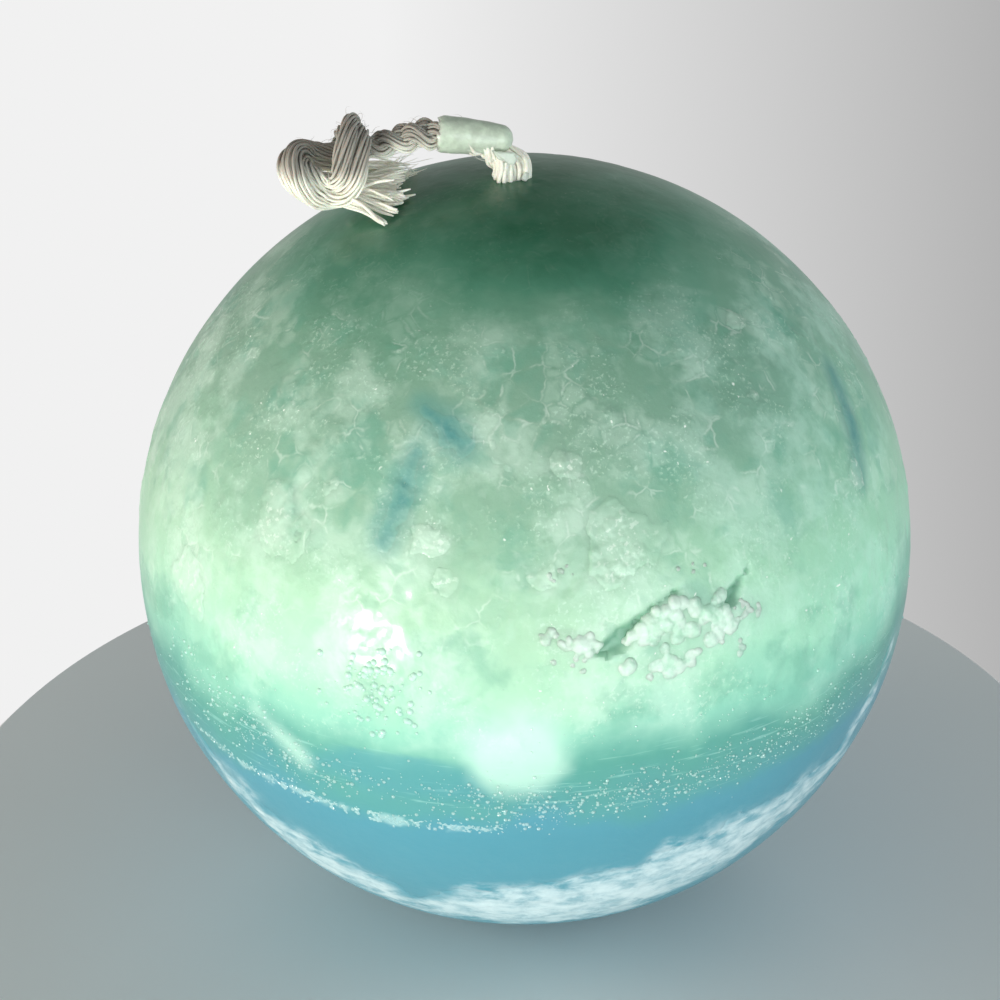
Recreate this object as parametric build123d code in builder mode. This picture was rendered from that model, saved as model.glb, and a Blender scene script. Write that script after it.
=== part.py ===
"""Ball candle in four pours of wax, with a braided wick that lies bent over on top.

Millimetres. The origin is the centre of the flat foot, +Z is up, and the wick lies towards -X.
Places on the ball are given as an azimuth, from -Y towards +X, and a latitude, both in degrees.
"""

import os
from math import cos, pi, radians, sin, sqrt, tan

from build123d import *

# Driving dimensions
BALL_RADIUS = 40.0
FOOT_RADIUS = 13.0
WICK_RADIUS = 1.45
CLEARANCE = 0.3

# Where one pour ends and the next begins, from the ball's centre
BLUE_TOP = -0.23 * BALL_RADIUS
TEAL_TOP = 0.0
GREEN_START = 0.84 * BALL_RADIUS

# The top-up wax that fills the hollow which the blue wax leaves as it shrinks
TOP_UP_RADIUS = 9.5
TOP_UP_DEPTH = 14.0
TOP_UP_TIP_RADIUS = 3.0

# Inlays in the surface
FROST_DEPTH = 0.5
SLIVER_DEPTH = 1.2
CHUNK_DEPTH = 2.0
CHUNK_POINTS = 9
CRUMB_COUNT = 15
CRUMB_RADIUS = 1.1
CRUMB_SINK = 0.7
CREVICE_RADIUS = 2.1
CREVICE_LATITUDE = 17
CREVICE_START = 4
CREVICE_SPAN = 33

# The wick above the ball, in the plane y = 0: (x, height above the ball's centre)
PIVOT = (-0.5, 42.0)
WICK_ROUTE = [(-0.5, 42.0), (-3.6, 44.3), (-8.0, 44.7), (-12.2, 43.8), (-15.0, 41.9)]
ROUTE_FILL = 0.45
SLEEVE_RADIUS = 1.8
SLEEVE_ENDS = [(-0.1, 43.85), (-6.9, 44.6)]
ROOT_SINK = 2.0
STAND_UP_ANGLE = 85

# The overhand knot, as three lumps: (x, y, height above the ball's centre), (half sizes)
KNOT_LUMPS = [
    ((-15.6, 0.6, 42.5), (2.1, 3.0, 3.8)),
    ((-19.9, 0.6, 41.5), (2.4, 2.9, 2.9)),
    ((-18.2, 0.8, 39.0), (2.5, 2.7, 2.2)),
]

# The frayed end: loose yarns that fan out over the ball from under the knot
YARN_RADIUS = 0.27
YARN_COUNT = 9
YARN_ROOTS = (2.6, -2.4)
YARN_TIPS = (3.4, -6.2)
YARN_ROOT_X = -16.6
YARN_TIP_X = -11.2

CENTRE_Z = sqrt(BALL_RADIUS**2 - FOOT_RADIUS**2)
CENTRE = Vector(0, 0, CENTRE_Z)

# (azimuth, latitude, length, width, turn in the surface)
SLIVERS = [
    (-19, 33, 10.0, 1.8, 80),
    (-13, 42, 6.4, 2.4, -38),
    (64, 29, 12.0, 2.2, 66),
    (128, 24, 9.0, 1.8, 102),
    (-158, 41, 7.0, 2.4, 30),
    (-104, 18, 11.0, 2.0, 71),
]

# (azimuth, latitude, size, height over width, turn in the surface)
CHUNKS = [
    (14, 27, 4.4, 0.8, 10),
    (53, 50, 1.8, 0.8, 40),
    (45, 40, 1.6, 1.2, 0),
    (-38, 26, 4.2, 0.8, 120),
    (-56, 12, 4.6, 0.9, 200),
    (98, 31, 4.8, 0.8, 80),
    (142, 12, 4.2, 0.9, 310),
    (176, 34, 4.9, 0.7, 150),
    (-134, 16, 4.4, 0.8, 20),
    (-92, 40, 4.1, 0.9, 260),
]

# Outlines of the two frosted skins, in the plane that faces out at their middle
FROST_RIGHT_MIDDLE = (22, -36)
FROST_RIGHT_OUTLINE = [
    (-16, -5), (-15, 2), (-11, 5), (-4, 5.4), (2, 8.2), (12, 9.5), (20, 7.8), (25, 9),
    (26, 4), (18, -1), (9, -5), (1, -10.5), (-7, -13), (-13, -11),
]  # fmt: skip
FROST_LEFT_MIDDLE = (-42, -28)
FROST_LEFT_OUTLINE = [
    (-14, 8), (-8, 6.4), (-3.5, 1.4), (1.5, 2.1), (7.5, 0), (10, -5), (8.5, -11.5),
    (3, -14), (-4, -10), (-9, -4), (-14, 2),
]  # fmt: skip

os.makedirs("parts", exist_ok=True)


def outward(azimuth, latitude):
    """The unit vector from the ball's centre to a place on its surface."""
    a, b = radians(azimuth), radians(latitude)
    return Vector(sin(a) * cos(b), -cos(a) * cos(b), sin(b))


def facing(azimuth, latitude):
    """The plane through the ball's centre that faces a place, with its x axis level."""
    across = Vector(cos(radians(azimuth)), sin(radians(azimuth)), 0)
    return Plane(origin=CENTRE, x_dir=across, z_dir=outward(azimuth, latitude))


def above_centre(x, height, y=0.0):
    """A point given by its height above the ball's centre."""
    return Vector(x, y, CENTRE_Z + height)


def keep_skin(depth):
    """Cuts the part being built down to the ball's outermost wax, to a depth."""
    with Locations(CENTRE):
        Sphere(BALL_RADIUS, mode=Mode.INTERSECT)
        Sphere(BALL_RADIUS - depth, mode=Mode.SUBTRACT)


def chunk_outline(size, aspect, turn):
    """Points of a rounded, uneven chunk."""
    points = []
    for i in range(CHUNK_POINTS):
        angle = 2 * pi * i / CHUNK_POINTS
        reach = size * (1 + 0.14 * sin(3 * angle + turn) + 0.08 * sin(2 * angle - turn))
        points.append((reach * cos(angle), reach * aspect * sin(angle)))
    return points


def ellipsoid(centre, half_sizes):
    """A lump with three half sizes."""
    return Pos(centre) * scale(Sphere(1), by=half_sizes)


# The ball as the mould leaves it, with its foot cut flat and the wick's hole
with BuildPart() as ball:
    with Locations(CENTRE):
        Sphere(BALL_RADIUS)
    split(bisect_by=Plane.XY, keep=Keep.TOP)
    with Locations(CENTRE):
        Cylinder(WICK_RADIUS, 2 * BALL_RADIUS + 2, mode=Mode.SUBTRACT)

# The wick inside the wax, from the foot to just below the top
with BuildPart() as wick_core:
    with BuildSketch(Plane.XY):
        Circle(WICK_RADIUS)
    extrude(amount=CENTRE_Z + BALL_RADIUS - ROOT_SINK)

# Blue slivers, pale chunks and frosted skins, each let into the surface
with BuildPart() as blue_slivers:
    for azimuth, latitude, length, width, turn in SLIVERS:
        with BuildSketch(facing(azimuth, latitude)):
            Ellipse(length / 2, width / 2, rotation=turn)
        extrude(amount=BALL_RADIUS + 1)
    keep_skin(SLIVER_DEPTH)

with BuildPart() as pale_chunks:
    for azimuth, latitude, size, aspect, turn in CHUNKS:
        with BuildSketch(facing(azimuth, latitude)):
            with BuildLine():
                Spline(*chunk_outline(size, aspect, turn), periodic=True)
            make_face()
        extrude(amount=BALL_RADIUS + 1)
    keep_skin(CHUNK_DEPTH)

with BuildPart() as frost_skin_right:
    with BuildSketch(facing(*FROST_RIGHT_MIDDLE)):
        with BuildLine():
            Spline(*FROST_RIGHT_OUTLINE, periodic=True)
        make_face()
    extrude(amount=BALL_RADIUS + 1)
    keep_skin(FROST_DEPTH)

with BuildPart() as frost_skin_left:
    with BuildSketch(facing(*FROST_LEFT_MIDDLE)):
        with BuildLine():
            Spline(*FROST_LEFT_OUTLINE, periodic=True)
        make_face()
    extrude(amount=BALL_RADIUS + 1)
    keep_skin(FROST_DEPTH)

# Crumbs of wax in two rows along the lower lip of a crevice, none touching the next
with BuildPart() as wax_crumbs:
    for i in range(CRUMB_COUNT):
        azimuth = CREVICE_START + CREVICE_SPAN * i / (CRUMB_COUNT - 1)
        row = 1 if i % 2 else -1
        direction = outward(azimuth, CREVICE_LATITUDE - 3.0 + 1.4 * row)
        with Locations(CENTRE + direction * (BALL_RADIUS - CRUMB_SINK)):
            Sphere(CRUMB_RADIUS + 0.1 * sin(1.7 * i))

crevice_start = CENTRE + outward(CREVICE_START, CREVICE_LATITUDE) * (BALL_RADIUS + 0.3)
crevice_along = (cos(radians(CREVICE_START)), sin(radians(CREVICE_START)), 0)

with BuildPart() as crevice:
    with BuildSketch(Plane(origin=crevice_start, z_dir=crevice_along)):
        Circle(CREVICE_RADIUS)
    revolve(axis=Axis.Z, revolution_arc=CREVICE_SPAN)

# The top-up wax at the foot
with BuildPart() as base_top_up:
    with BuildSketch(Plane.XZ):
        with BuildLine():
            Polyline(
                (WICK_RADIUS, 0),
                (TOP_UP_RADIUS, 0),
                (TOP_UP_TIP_RADIUS, TOP_UP_DEPTH),
                (WICK_RADIUS, TOP_UP_DEPTH),
                close=True,
            )
        make_face()
    revolve(axis=Axis.Z)

# The four pours
with BuildPart() as blue_base_pour:
    add(ball.part)
    split(bisect_by=Plane.XY.offset(CENTRE_Z + BLUE_TOP), keep=Keep.BOTTOM)
    add(base_top_up.part, mode=Mode.SUBTRACT)
    add(frost_skin_right.part, mode=Mode.SUBTRACT)
    add(frost_skin_left.part, mode=Mode.SUBTRACT)

with BuildPart() as teal_pour:
    add(ball.part)
    split(bisect_by=Plane.XY.offset(CENTRE_Z + BLUE_TOP), keep=Keep.TOP)
    split(bisect_by=Plane.XY.offset(CENTRE_Z + TEAL_TOP), keep=Keep.BOTTOM)

with BuildPart() as mint_chunk_pour:
    add(ball.part)
    split(bisect_by=Plane.XY.offset(CENTRE_Z + TEAL_TOP), keep=Keep.TOP)
    split(bisect_by=Plane.XY.offset(CENTRE_Z + GREEN_START), keep=Keep.BOTTOM)
    add(pale_chunks.part, mode=Mode.SUBTRACT)
    add(blue_slivers.part, mode=Mode.SUBTRACT)
    add(crevice.part, mode=Mode.SUBTRACT)
    add(wax_crumbs.part, mode=Mode.SUBTRACT)

with BuildPart() as green_top_pour:
    add(ball.part)
    split(bisect_by=Plane.XY.offset(CENTRE_Z + GREEN_START), keep=Keep.TOP)

# The wick's root: it leaves the wax and leans to the fold that it bends at
pivot = above_centre(*PIVOT)
rim = above_centre(0, BALL_RADIUS + 0.2)
lean = pivot - rim

with BuildPart() as wick_root:
    with BuildSketch(Plane.XY.offset(CENTRE_Z + BALL_RADIUS - ROOT_SINK)):
        Circle(WICK_RADIUS)
    extrude(amount=ROOT_SINK + 0.2)
    with Locations(rim, pivot):
        Sphere(WICK_RADIUS)
    with BuildSketch(Plane(origin=rim, z_dir=lean)):
        Circle(WICK_RADIUS)
    extrude(amount=lean.length)
    add(green_top_pour.part, mode=Mode.SUBTRACT)

# The room that the root sweeps, as seen from the part of the wick that stands up
with BuildPart() as root_room:
    with Locations(pivot):
        Sphere(WICK_RADIUS + CLEARANCE)
    for i in range(6):
        turn = Rot(0, -STAND_UP_ANGLE * i / 5, 0)
        with BuildSketch(Plane(origin=pivot, z_dir=(turn * Pos(lean * -1)).position)):
            Circle(WICK_RADIUS + CLEARANCE)
        extrude(amount=lean.length + 1)

# The wick from the fold to the knot
route = [above_centre(x, height) for x, height in WICK_ROUTE]
radii = []
for before, corner, after in zip(route, route[1:], route[2:]):
    turn = (corner - before).get_angle(after - corner)
    shorter = min((corner - before).length, (after - corner).length)
    radii.append(ROUTE_FILL * shorter / tan(radians(turn) / 2))
print("wick radii:", [round(r, 2) for r in radii])

knot_lumps = [ellipsoid(above_centre(x, height, y), sizes) for (x, y, height), sizes in KNOT_LUMPS]

with BuildPart() as wick_knot:
    add(knot_lumps)

with BuildPart() as wick_tail:
    with BuildLine():
        path = FilletPolyline(*route, radius=radii)
    with BuildSketch(Plane(origin=route[0], z_dir=path % 0)):
        Circle(WICK_RADIUS)
    sweep()
    add(root_room.part, mode=Mode.SUBTRACT)
    add(wick_knot.part, mode=Mode.SUBTRACT)
tube_share = wick_tail.part.volume / (pi * WICK_RADIUS**2 * path.length)
print("tail length:", round(path.length, 2), "volume over section times length:", round(tube_share, 3))

# The wax that set round the wick in the mould's wick hole
sleeve_foot, sleeve_tip = (above_centre(x, height) for x, height in SLEEVE_ENDS)
sleeve_line = sleeve_tip - sleeve_foot

with BuildPart() as wick_sleeve:
    with BuildSketch(Plane(origin=sleeve_foot, z_dir=sleeve_line)):
        Circle(SLEEVE_RADIUS)
    extrude(amount=sleeve_line.length)
    add(wick_tail.part, mode=Mode.SUBTRACT)
    add(root_room.part, mode=Mode.SUBTRACT)

# A shard of the same wax, stuck to the ball beside the exit
with BuildPart() as wax_flake:
    with BuildSketch(Plane(origin=above_centre(1.9, 40.3, -0.4), x_dir=(1, 0.3, 0.2), z_dir=(0.2, -1, 0.4))):
        RegularPolygon(0.75, 3, rotation=20)
    extrude(amount=0.3, both=True)
    add(wick_root.part, mode=Mode.SUBTRACT)
    add(green_top_pour.part, mode=Mode.SUBTRACT)

with BuildPart() as frayed_strands:
    for i in range(YARN_COUNT):
        share = i / (YARN_COUNT - 1)
        root_y = YARN_ROOTS[0] + share * (YARN_ROOTS[1] - YARN_ROOTS[0])
        tip_y = YARN_TIPS[0] + share * (YARN_TIPS[1] - YARN_TIPS[0])
        lift = YARN_RADIUS + CLEARANCE + 0.15 + 0.35 * (i % 2)
        root_height = sqrt((BALL_RADIUS + lift) ** 2 - YARN_ROOT_X**2 - root_y**2)
        tip_x = YARN_TIP_X - 0.6 * (i % 3)
        tip_height = sqrt((BALL_RADIUS + lift) ** 2 - tip_x**2 - tip_y**2)
        root = above_centre(YARN_ROOT_X, root_height, root_y)
        tip = above_centre(tip_x, tip_height, tip_y)
        with BuildSketch(Plane(origin=root, z_dir=tip - root)):
            Circle(YARN_RADIUS)
        extrude(amount=(tip - root).length)
    add(wick_knot.part, mode=Mode.SUBTRACT)

PIECES = {
    "blue_base_pour": blue_base_pour,
    "teal_pour": teal_pour,
    "mint_chunk_pour": mint_chunk_pour,
    "green_top_pour": green_top_pour,
    "base_top_up": base_top_up,
    "blue_slivers": blue_slivers,
    "pale_chunks": pale_chunks,
    "wax_crumbs": wax_crumbs,
    "frost_skin_right": frost_skin_right,
    "frost_skin_left": frost_skin_left,
    "wick_core": wick_core,
    "wick_root": wick_root,
    "wax_flake": wax_flake,
    "wick_sleeve": wick_sleeve,
    "wick_tail": wick_tail,
    "wick_knot": wick_knot,
    "frayed_strands": frayed_strands,
}
for label, piece in PIECES.items():
    piece.part.label = label
    export_step(piece.part, f"parts/{label}.step")
print("centre height:", round(CENTRE_Z, 3), "pivot:", tuple(round(v, 3) for v in pivot))
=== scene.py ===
"""A layered wax ball candle with a knotted wick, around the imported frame.

Metres, +Z up, and -Y faces the camera.
"""

import math
import random

import bmesh
import bpy
import numpy as np
from mathutils import Matrix, Vector, noise


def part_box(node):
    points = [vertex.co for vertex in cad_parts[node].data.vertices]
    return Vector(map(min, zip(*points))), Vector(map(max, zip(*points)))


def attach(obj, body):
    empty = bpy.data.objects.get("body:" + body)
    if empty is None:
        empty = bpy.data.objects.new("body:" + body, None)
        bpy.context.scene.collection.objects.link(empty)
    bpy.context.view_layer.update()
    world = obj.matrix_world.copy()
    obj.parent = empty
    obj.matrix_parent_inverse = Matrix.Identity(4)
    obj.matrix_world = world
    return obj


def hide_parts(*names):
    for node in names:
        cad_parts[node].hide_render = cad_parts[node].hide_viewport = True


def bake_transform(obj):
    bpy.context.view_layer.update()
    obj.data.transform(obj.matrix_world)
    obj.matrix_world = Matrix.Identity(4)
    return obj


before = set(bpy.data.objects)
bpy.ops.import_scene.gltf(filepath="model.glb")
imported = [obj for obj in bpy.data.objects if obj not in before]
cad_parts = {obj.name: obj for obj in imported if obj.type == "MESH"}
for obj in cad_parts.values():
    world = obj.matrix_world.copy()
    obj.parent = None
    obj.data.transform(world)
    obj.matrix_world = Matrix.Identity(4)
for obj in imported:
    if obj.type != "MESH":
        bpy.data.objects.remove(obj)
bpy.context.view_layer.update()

MM = 0.001

# Places and sizes from the frame
ball_low, ball_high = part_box("mint_chunk_pour")
BALL_R = (ball_high[0] - ball_low[0]) / 2
CENTRE = Vector((0, 0, ball_low[2]))
BLUE_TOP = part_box("blue_base_pour")[1][2] - CENTRE.z
GREEN_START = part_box("green_top_pour")[0][2] - CENTRE.z
WICK_R = (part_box("wick_core")[1][0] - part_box("wick_core")[0][0]) / 2
TOP_UP_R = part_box("base_top_up")[1][0]

# Camera: its place from the ball's centre, the point it aims at and how far it leans
CAMERA_FROM_CENTRE = Vector((0, -0.2316, 0.1231))
AIM_FROM_CENTRE = Vector((-0.0024, 0.0019, 0.0036))
CAMERA_LEAN = math.radians(-2.2)
CAMERA_LENS = 90
SENSOR = 36

# The wick's route in the plane of its fold, then round the overhand knot: x, y and height above
# the ball's centre
WICK_ROUTE = [
    (0.0004, 0.0000, 0.0384),
    (0.0001, 0.0000, 0.0401),
    (-0.0008, 0.0000, 0.0421),
    (-0.0038, 0.0000, 0.0442),
    (-0.0080, 0.0000, 0.0447),
    (-0.0110, 0.0001, 0.0441),
    (-0.0131, 0.0009, 0.0433),
    (-0.0156, 0.0022, 0.0424),
    (-0.0183, 0.0030, 0.0418),
    (-0.0204, 0.0027, 0.0420),
    (-0.0211, 0.0009, 0.0426),
    (-0.0211, -0.0009, 0.0420),
    (-0.0203, -0.0015, 0.0406),
    (-0.0192, -0.0013, 0.0396),
    (-0.0179, -0.0009, 0.0395),
    (-0.0164, -0.0014, 0.0399),
    (-0.0157, -0.0025, 0.0413),
    (-0.0154, -0.0032, 0.0431),
    (-0.0152, -0.0020, 0.0447),
    (-0.0153, 0.0006, 0.0452),
    (-0.0157, 0.0036, 0.0440),
    (-0.0163, 0.0050, 0.0417),
    (-0.0169, 0.0044, 0.0399),
    (-0.0170, 0.0026, 0.0389),
    (-0.0165, 0.0010, 0.0389),
]


def new_object(name, data):
    """An object in the scene from a mesh, a camera or a lamp."""
    made = bpy.data.objects.new(name, data)
    bpy.context.scene.collection.objects.link(made)
    return made


def aimed(place, towards):
    """The matrix of a camera or lamp at a place, facing another."""
    turn = (towards - place).to_track_quat("-Z", "Y").to_matrix().to_4x4()
    return Matrix.Translation(place) @ turn


def mesh_object(name, vertices, faces, smooth=True):
    """A new object from vertex and face lists, with its normals facing out."""
    mesh = bpy.data.meshes.new(name)
    mesh.from_pydata([tuple(v) for v in vertices], [], [tuple(f) for f in faces])
    shape = bmesh.new()
    shape.from_mesh(mesh)
    bmesh.ops.recalc_face_normals(shape, faces=shape.faces)
    shape.to_mesh(mesh)
    shape.free()
    if smooth:
        mesh.polygons.foreach_set("use_smooth", [True] * len(mesh.polygons))
    mesh.update()
    return new_object(name, mesh)


# ---------------------------------------------------------------- camera


def add_camera():
    camera = new_object("camera", bpy.data.cameras.new("camera"))
    camera.data.lens = CAMERA_LENS
    camera.data.sensor_width = SENSOR
    view = aimed(CENTRE + CAMERA_FROM_CENTRE, CENTRE + AIM_FROM_CENTRE)
    camera.matrix_world = view @ Matrix.Rotation(CAMERA_LEAN, 4, "Z")
    bpy.context.scene.camera = camera


add_camera()

# ---------------------------------------------------------------- the wick

PLIES = 3
YARNS_PER_PLY = 22
YARN_SIDES = 5
YARN_R = 0.102 * WICK_R
BRAID_PITCH = 0.0070
STEP_ALONG = 0.00024
KNOT_START, KNOT_FULL = 0.0166, 0.0211
# Where the wick is fuller: distance along it, reach each way and share added
BULGES = [(0.0026, 0.0014, 0.36), (0.0125, 0.0040, 0.14), (0.0307, 0.0028, 0.30), (0.0377, 0.0040, 0.20)]
EXIT_END = 0.0056
STRAYS = 240


def smooth_route(points):
    """Points along the NURBS spline that has these control points."""
    curve = bpy.data.curves.new("route", "CURVE")
    curve.dimensions = "3D"
    spline = curve.splines.new("NURBS")
    spline.points.add(len(points) - 1)
    for control, place in zip(spline.points, points):
        control.co = (*place, 1)
    spline.order_u = 3
    spline.use_endpoint_u = True
    spline.resolution_u = 24
    holder = bpy.data.objects.new("route", curve)
    line = bpy.data.meshes.new_from_object(holder)
    found = [v.co.copy() for v in line.vertices]
    bpy.data.objects.remove(holder)
    bpy.data.curves.remove(curve)
    bpy.data.meshes.remove(line)
    return found


def evenly(points, step):
    """The same line with points a step apart."""
    lengths = [0.0]
    for a, b in zip(points, points[1:]):
        lengths.append(lengths[-1] + (b - a).length)
    count = max(2, round(lengths[-1] / step) + 1)
    wanted = np.linspace(0, lengths[-1], count)
    axes = [np.interp(wanted, lengths, [p[k] for p in points]) for k in range(3)]
    return [Vector(p) for p in zip(*axes)], lengths[-1]


def frames_along(points):
    """Side and up vectors that turn as little as possible along a line."""
    tangents = [(b - a).normalized() for a, b in zip(points, points[1:])]
    tangents.append(tangents[-1])
    side = Vector((0, 1, 0))
    found = []
    for tangent in tangents:
        side = (side - tangent * side.dot(tangent)).normalized()
        found.append((side, tangent.cross(side)))
    return found


def tube_mesh(lines, radii, sides):
    """Vertices and faces of round tubes along several lines, closed at both ends."""
    vertices, faces = [], []
    for line, radius in zip(lines, radii):
        start = len(vertices)
        for i, (place, (side, up)) in enumerate(zip(line, frames_along(line))):
            r = radius(i / (len(line) - 1))
            for k in range(sides):
                angle = 2 * math.pi * k / sides
                vertices.append(place + side * (r * math.cos(angle)) + up * (r * math.sin(angle)))
        for i in range(len(line) - 1):
            for k in range(sides):
                a, b = start + i * sides + k, start + i * sides + (k + 1) % sides
                faces.append((a, b, b + sides, a + sides))
        faces.append(tuple(start + k for k in reversed(range(sides))))
        end = start + (len(line) - 1) * sides
        faces.append(tuple(end + k for k in range(sides)))
    return vertices, faces


route = [CENTRE + Vector(p) for p in WICK_ROUTE]
wick_line, wick_length = evenly(smooth_route(route), STEP_ALONG)
wick_frames = frames_along(wick_line)


def fullness(along):
    """How much wider than its stalk the wick is, where it leaves the wax and round the knot."""
    return 1 + sum(extra * math.exp(-(((along - middle) / reach) ** 2)) for middle, reach, extra in BULGES)


def yarn_line(ply, yarn):
    """One yarn. Its ply is plaited along the stalk and runs straighter and looser round the knot."""
    phase = 2 * math.pi * ply / PLIES
    out = 0.60 * math.sqrt((yarn + 0.5) / YARNS_PER_PLY)
    around = yarn * math.pi * (3 - math.sqrt(5))
    line = []
    for i, (place, (side, up)) in enumerate(zip(wick_line, wick_frames)):
        along = i * STEP_ALONG
        knot = min(1.0, max(0.0, (along - KNOT_START) / (KNOT_FULL - KNOT_START)))
        knot = max(knot, min(1.0, max(0.0, (EXIT_END - along) / EXIT_END * 2)))
        turn = 2 * math.pi * along / BRAID_PITCH + phase
        lay = 2 * math.pi * along / (5 * BRAID_PITCH) + phase
        across = (1 - knot) * 0.42 * math.sin(turn) + knot * 0.52 * math.cos(lay)
        over = (1 - knot) * 0.30 * math.sin(2 * turn) + knot * 0.52 * math.sin(lay)
        angle = around + 2 * math.pi * along / (2.3 * BRAID_PITCH)
        wander = 0.035 * math.sin(1300 * along + 2.1 * yarn + ply)
        across += (out + wander) * math.cos(angle)
        over += (0.9 * out - wander) * math.sin(angle)
        line.append(place + (side * across + up * over) * fullness(along) * WICK_R)
    return line


def stray_fibre(dice):
    """A thin curl of cotton standing off the wick's side."""
    i = dice.randrange(len(wick_line) - 12)
    side, up = wick_frames[i]
    angle = dice.uniform(0, 2 * math.pi)
    out = side * math.cos(angle) + up * math.sin(angle)
    onward = (wick_line[i + 1] - wick_line[i]).normalized() * dice.choice((-1, 1))
    bend = onward.cross(out) * dice.uniform(-0.7, 0.7)
    length = dice.uniform(0.5, 1.6) * MM
    start = wick_line[i] + out * 0.9 * WICK_R
    steps = [k / 6 for k in range(7)]
    rise = dice.uniform(0.15, 0.6)
    return [start + (onward * t + out * rise * math.sin(2.2 * t) + bend * t * t) * length for t in steps]


def yarn_radius(share):
    """Yarns are thicker where the wick leaves the wax."""
    return YARN_R * (1 + 0.7 * math.exp(-((share * wick_length / EXIT_END) ** 2)))


yarns = [yarn_line(ply, yarn) for ply in range(PLIES) for yarn in range(YARNS_PER_PLY)]
wick_vertices, wick_faces = tube_mesh(yarns, [yarn_radius] * len(yarns), YARN_SIDES)
fibre_dice = random.Random(11)
strays = [stray_fibre(fibre_dice) for _ in range(STRAYS)]
stray_vertices, stray_faces = tube_mesh(strays, [lambda t: 0.018 * MM * (1.2 - t)] * STRAYS, 3)
wick_faces += [tuple(k + len(wick_vertices) for k in face) for face in stray_faces]
wick = mesh_object("braided_wick", wick_vertices + stray_vertices, wick_faces)

# ---------------------------------------------------------------- noise

CORNERS = [(i, j, k) for i in (0, 1) for j in (0, 1) for k in (0, 1)]
AROUND = [(i, j, k) for i in (-1, 0, 1) for j in (-1, 0, 1) for k in (-1, 0, 1)]


def chance(cell, seed):
    """A repeatable number from 0 to 1 for each whole-numbered cell."""
    mixed = cell[:, 0] * 73856093 ^ cell[:, 1] * 19349663 ^ cell[:, 2] * 83492791 ^ seed * 49979687
    mixed = ((mixed ^ (mixed >> 15)) * 2246822519) & 0xFFFFFFFF
    mixed = ((mixed ^ (mixed >> 13)) * 3266489917) & 0xFFFFFFFF
    return ((mixed ^ (mixed >> 16)) & 0xFFFFFF) / 0xFFFFFF


def soft_noise(points, size, seed):
    """Smooth noise from -1 to 1 with features of one size."""
    scaled = points / size
    cell = np.floor(scaled).astype(np.int64)
    part = scaled - cell
    part = part * part * (3 - 2 * part)
    total = np.zeros(len(points))
    for corner in CORNERS:
        near = np.prod(np.where(corner, part, 1 - part), axis=1)
        total += near * chance(cell + corner, seed)
    return 2 * total - 1


def rough_noise(points, size, octaves, seed):
    """Noise from about -1 to 1 with finer and finer features."""
    total, weight, sum_of_weights = 0.0, 1.0, 0.0
    for octave in range(octaves):
        total = total + weight * soft_noise(points, size / 2**octave, seed + 17 * octave)
        sum_of_weights += weight
        weight /= 2
    return total / sum_of_weights * 1.6


def chunks(points, size, seed):
    """How far each point is inside its chunk, in metres, and a number from 0 to 1 for the chunk."""
    cell = np.floor(points / size).astype(np.int64)
    first = np.full(len(points), np.inf)
    second = np.full(len(points), np.inf)
    which = np.zeros(len(points))
    for step in AROUND:
        there = cell + step
        jitter = np.stack([chance(there, seed + k) for k in range(3)], axis=1)
        distance = np.linalg.norm((there + jitter) * size - points, axis=1)
        nearer = distance < first
        second = np.where(nearer, first, np.minimum(second, distance))
        which = np.where(nearer, chance(there, seed + 5), which)
        first = np.where(nearer, distance, first)
    return (second - first) / 2, which


def give(made, name, values):
    """Stores a number for each vertex, for the material to read."""
    stored = made.data.attributes.new(name, "FLOAT", "POINT")
    stored.data.foreach_set("value", np.asarray(values, dtype=np.float32))


def ramp(value, low, high):
    """0 at low, 1 at high and a smooth step between; it is level past both."""
    part = np.clip((value - low) / (high - low), 0, 1)
    return part * part * (3 - 2 * part)


# ---------------------------------------------------------------- places on the ball


def outward(azimuth, latitude):
    """Unit vectors to places on the ball, from degrees: azimuth from -Y towards +X, latitude up."""
    a, b = np.radians(azimuth), np.radians(latitude)
    return np.stack([np.sin(a) * np.cos(b), -np.cos(a) * np.cos(b), np.sin(b)], axis=-1)


def inside_band(directions, stations):
    """How far directions lie inside a band, in metres. Stations are (azimuth, latitude, half width in mm)."""
    places = outward(np.array([s[0] for s in stations]), np.array([s[1] for s in stations])) * BALL_R
    widths = [s[2] * MM for s in stations]
    points = directions * BALL_R
    best = np.full(len(points), -np.inf)
    for a, b, width_a, width_b in zip(places, places[1:], widths, widths[1:]):
        run = b - a
        share = np.clip((points - a) @ run / (run @ run), 0, 1)
        distance = np.linalg.norm(points - a - share[:, None] * run, axis=1)
        best = np.maximum(best, width_a + (width_b - width_a) * share - distance)
    return best


FROST_RIGHT = [
    (-15, -40, 4.5), (-8, -38, 6.0), (0, -38, 7.5), (9, -37.3, 7.8), (17, -34.8, 7.2), (24, -32, 6.6),
    (32, -28.5, 6.0),
    (42, -25.5, 4.4), (54, -21.5, 2.8), (60, -14, 1.8), (66, -7, 0.6),
]  # fmt: skip
FROST_LEFT = [(-65, -9, 0.3), (-59, -16.5, 1.0), (-53, -21, 2.4), (-46, -28, 3.6), (-38, -33, 4.6),
    (-31, -35.5, 4.6),
              (-26, -41, 2.6), (-22, -46, 0.8)]  # fmt: skip
FROST_BACK = [(112, -30, 1.5), (135, -36, 4.5), (160, -34, 5.0), (190, -38, 4.5), (215, -33, 2.5)]
CRUST_LINE = [(-58, -12.5, 0.1), (-46, -13.6, 0.25), (-37, -14, 0.55), (-29, -14.2, 0.4), (-20, -14.6, 0.45),
              (-11, -14.6, 0.1), (-4, -14.6, 0.15)]  # fmt: skip
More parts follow.
